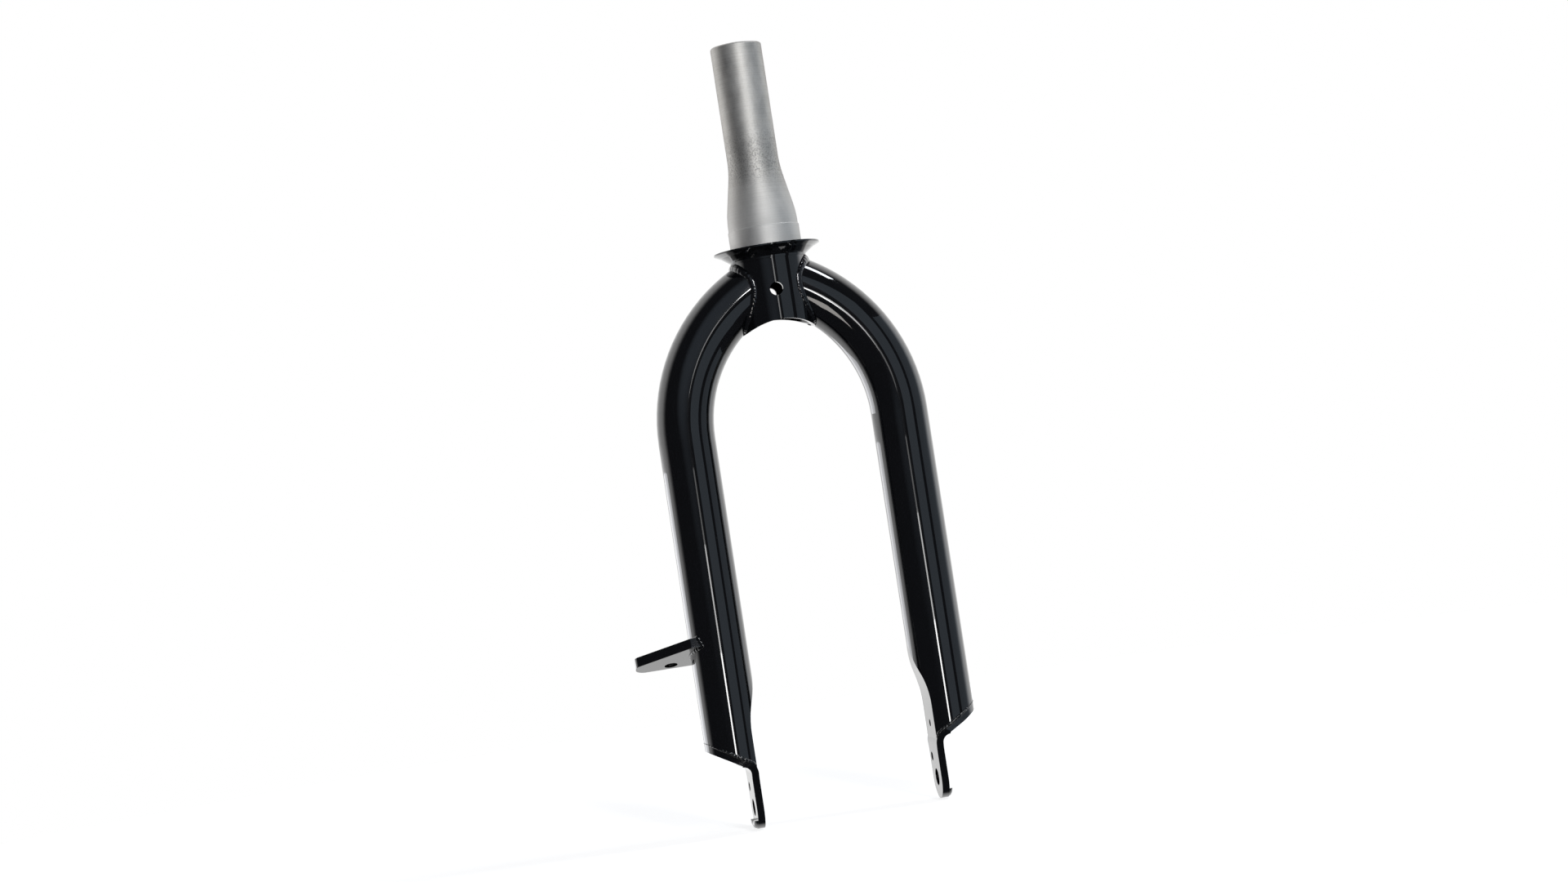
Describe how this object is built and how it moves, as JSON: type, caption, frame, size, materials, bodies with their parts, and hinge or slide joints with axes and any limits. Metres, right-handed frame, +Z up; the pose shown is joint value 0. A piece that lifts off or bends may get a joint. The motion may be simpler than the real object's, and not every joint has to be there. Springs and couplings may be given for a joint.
{
  "type": "bicycle fork",
  "caption": "Rigid welded bicycle fork with a tapered bare steerer, bent round legs, flat closed dropout plates and a linkage lug on one leg.",
  "frame": {"origin": "on the steering axis, level with the top of the collar, where the crown race stops", "axes": "+Z up along the steerer, +Y forward, +X to the bicycle's right, so the lug is on the -X leg"},
  "size_m": [0.183, 0.0592, 0.431],
  "materials": {
    "bare_steel": "satin",
    "black_paint": "gloss"
  },
  "bodies": {
    "root": {"steerer_tube": "bare_steel", "crown_collar": "black_paint", "left_leg": "black_paint", "right_leg": "black_paint", "left_dropout": "black_paint", "right_dropout": "black_paint", "steering_lug": "black_paint", "left_crown_weld": "black_paint", "right_crown_weld": "black_paint", "left_dropout_weld": "black_paint", "right_dropout_weld": "black_paint", "lug_weld": "black_paint"}
  },
  "joints": []
}
